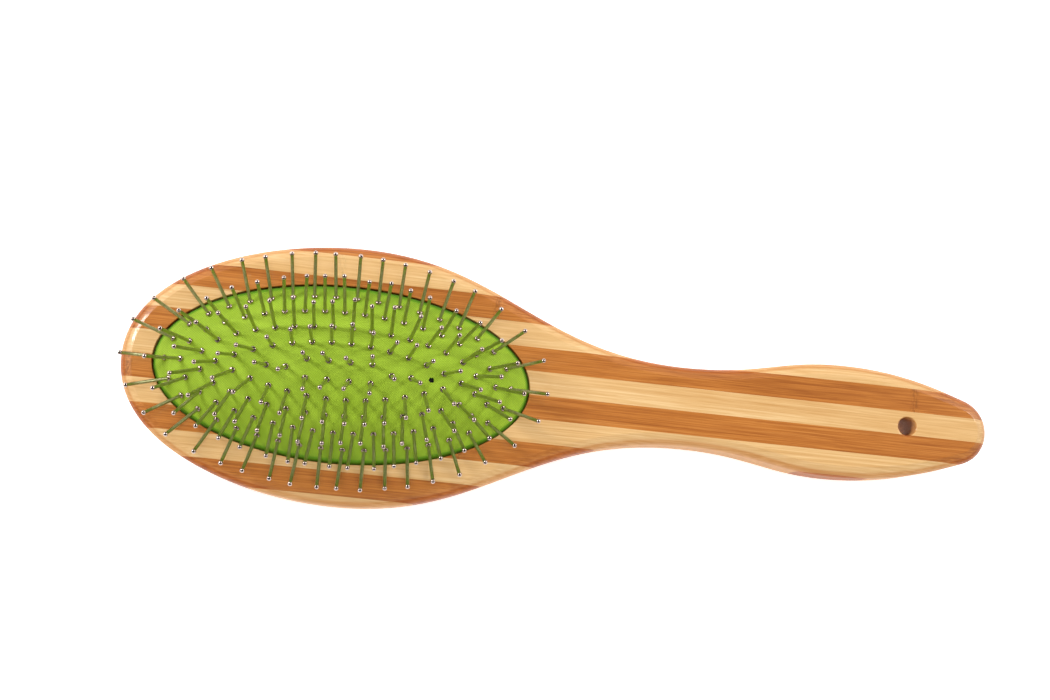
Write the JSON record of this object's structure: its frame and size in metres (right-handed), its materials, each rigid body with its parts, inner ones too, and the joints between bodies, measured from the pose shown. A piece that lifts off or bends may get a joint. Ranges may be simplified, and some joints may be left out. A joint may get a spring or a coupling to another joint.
{
  "type": "pin brush",
  "caption": "Oval cushion pin brush for pets: striped bamboo board with a hanging hole, and a sprung green cushion of ball-tipped steel pins.",
  "frame": {"origin": "on the flat back, under the middle of the box round the brush", "axes": "+X from the head to the handle end, +Y to the left seen from the head end looking along the handle with the pins up, +Z from the back to the pin tips"},
  "size_m": [0.232, 0.0684, 0.0342],
  "materials": {
    "light_bamboo": "natural bamboo under satin lacquer, fine grain along the strips",
    "dark_bamboo": "carbonised bamboo under satin lacquer, fine grain along the strips",
    "green_cushion": "fine woven green cloth bonded to rubber",
    "backing_fibre": "dull pressed fibre sheet",
    "pin_steel": "plated wire, bright ball tip"
  },
  "bodies": {
    "board": {"bamboo_strip_01": "dark_bamboo", "bamboo_strip_02": "light_bamboo", "bamboo_strip_03": "dark_bamboo", "bamboo_strip_04": "light_bamboo", "bamboo_strip_04_grip": "light_bamboo", "bamboo_strip_05": "dark_bamboo", "bamboo_strip_06": "light_bamboo", "bamboo_strip_07": "dark_bamboo", "bamboo_strip_08": "light_bamboo", "bamboo_strip_09": "dark_bamboo", "bamboo_strip_09_grip": "dark_bamboo", "bamboo_strip_10": "light_bamboo", "bamboo_strip_11": "dark_bamboo", "bamboo_strip_12": "light_bamboo", "cushion": "green_cushion", "backing_sheet": "backing_fibre"},
    "centre_pins": {"centre_pins_left_row": "pin_steel", "centre_pins_right_row": "pin_steel"},
    "fourth_side_pins": {"fourth_pins_left_side": "pin_steel", "fourth_pins_right_side": "pin_steel"},
    "fourth_end_pins": {"fourth_pins_handle_end": "pin_steel", "fourth_pins_head_end": "pin_steel"},
    "third_side_pins": {"third_pins_left_side": "pin_steel", "third_pins_right_side": "pin_steel"},
    "third_end_pins": {"third_pins_handle_end": "pin_steel", "third_pins_head_end": "pin_steel"},
    "second_side_pins": {"second_pins_left_side": "pin_steel", "second_pins_right_side": "pin_steel"},
    "second_end_pins": {"second_pins_handle_end": "pin_steel", "second_pins_head_end": "pin_steel"},
    "outer_pins": {"outer_pins_handle_end": "pin_steel", "outer_pins_head_end": "pin_steel", "outer_pins_left_side": "pin_steel", "outer_pins_right_side": "pin_steel"}
  },
  "joints": [
    {"name": "centre_press", "type": "slide", "parent": "board", "child": "centre_pins", "axis": [0, 0, -1], "range_m": [0, 0.0026], "stiffness_N_per_m": 180, "deforming": ["cushion", "backing_sheet"]},
    {"name": "fourth_side_press", "type": "slide", "parent": "board", "child": "fourth_side_pins", "axis": [0, 0, -1], "range_m": [0, 0.00248], "stiffness_N_per_m": 180, "deforming": ["cushion", "backing_sheet"]},
    {"name": "fourth_end_press", "type": "slide", "parent": "board", "child": "fourth_end_pins", "axis": [0, 0, -1], "range_m": [0, 0.0021], "stiffness_N_per_m": 180, "deforming": ["cushion", "backing_sheet"]},
    {"name": "third_side_press", "type": "slide", "parent": "board", "child": "third_side_pins", "axis": [0, 0, -1], "range_m": [0, 0.00209], "stiffness_N_per_m": 180, "deforming": ["cushion", "backing_sheet"]},
    {"name": "third_end_press", "type": "slide", "parent": "board", "child": "third_end_pins", "axis": [0, 0, -1], "range_m": [0, 0.00163], "stiffness_N_per_m": 180, "deforming": ["cushion", "backing_sheet"]},
    {"name": "second_side_press", "type": "slide", "parent": "board", "child": "second_side_pins", "axis": [0, 0, -1], "range_m": [0, 0.00154], "stiffness_N_per_m": 180, "deforming": ["cushion", "backing_sheet"]},
    {"name": "second_end_press", "type": "slide", "parent": "board", "child": "second_end_pins", "axis": [0, 0, -1], "range_m": [0, 0.00114], "stiffness_N_per_m": 180, "deforming": ["cushion", "backing_sheet"]},
    {"name": "outer_press", "type": "slide", "parent": "board", "child": "outer_pins", "axis": [0, 0, -1], "range_m": [0, 0.00071], "stiffness_N_per_m": 180, "deforming": ["cushion", "backing_sheet"]}
  ],
  "couplings": [
    {"joint": "fourth_side_press", "follows": "centre_press", "ratio": 0.945},
    {"joint": "fourth_end_press", "follows": "centre_press", "ratio": 0.801},
    {"joint": "third_side_press", "follows": "centre_press", "ratio": 0.798},
    {"joint": "third_end_press", "follows": "centre_press", "ratio": 0.619},
    {"joint": "second_side_press", "follows": "centre_press", "ratio": 0.584},
    {"joint": "second_end_press", "follows": "centre_press", "ratio": 0.432},
    {"joint": "outer_press", "follows": "centre_press", "ratio": 0.266}
  ]
}
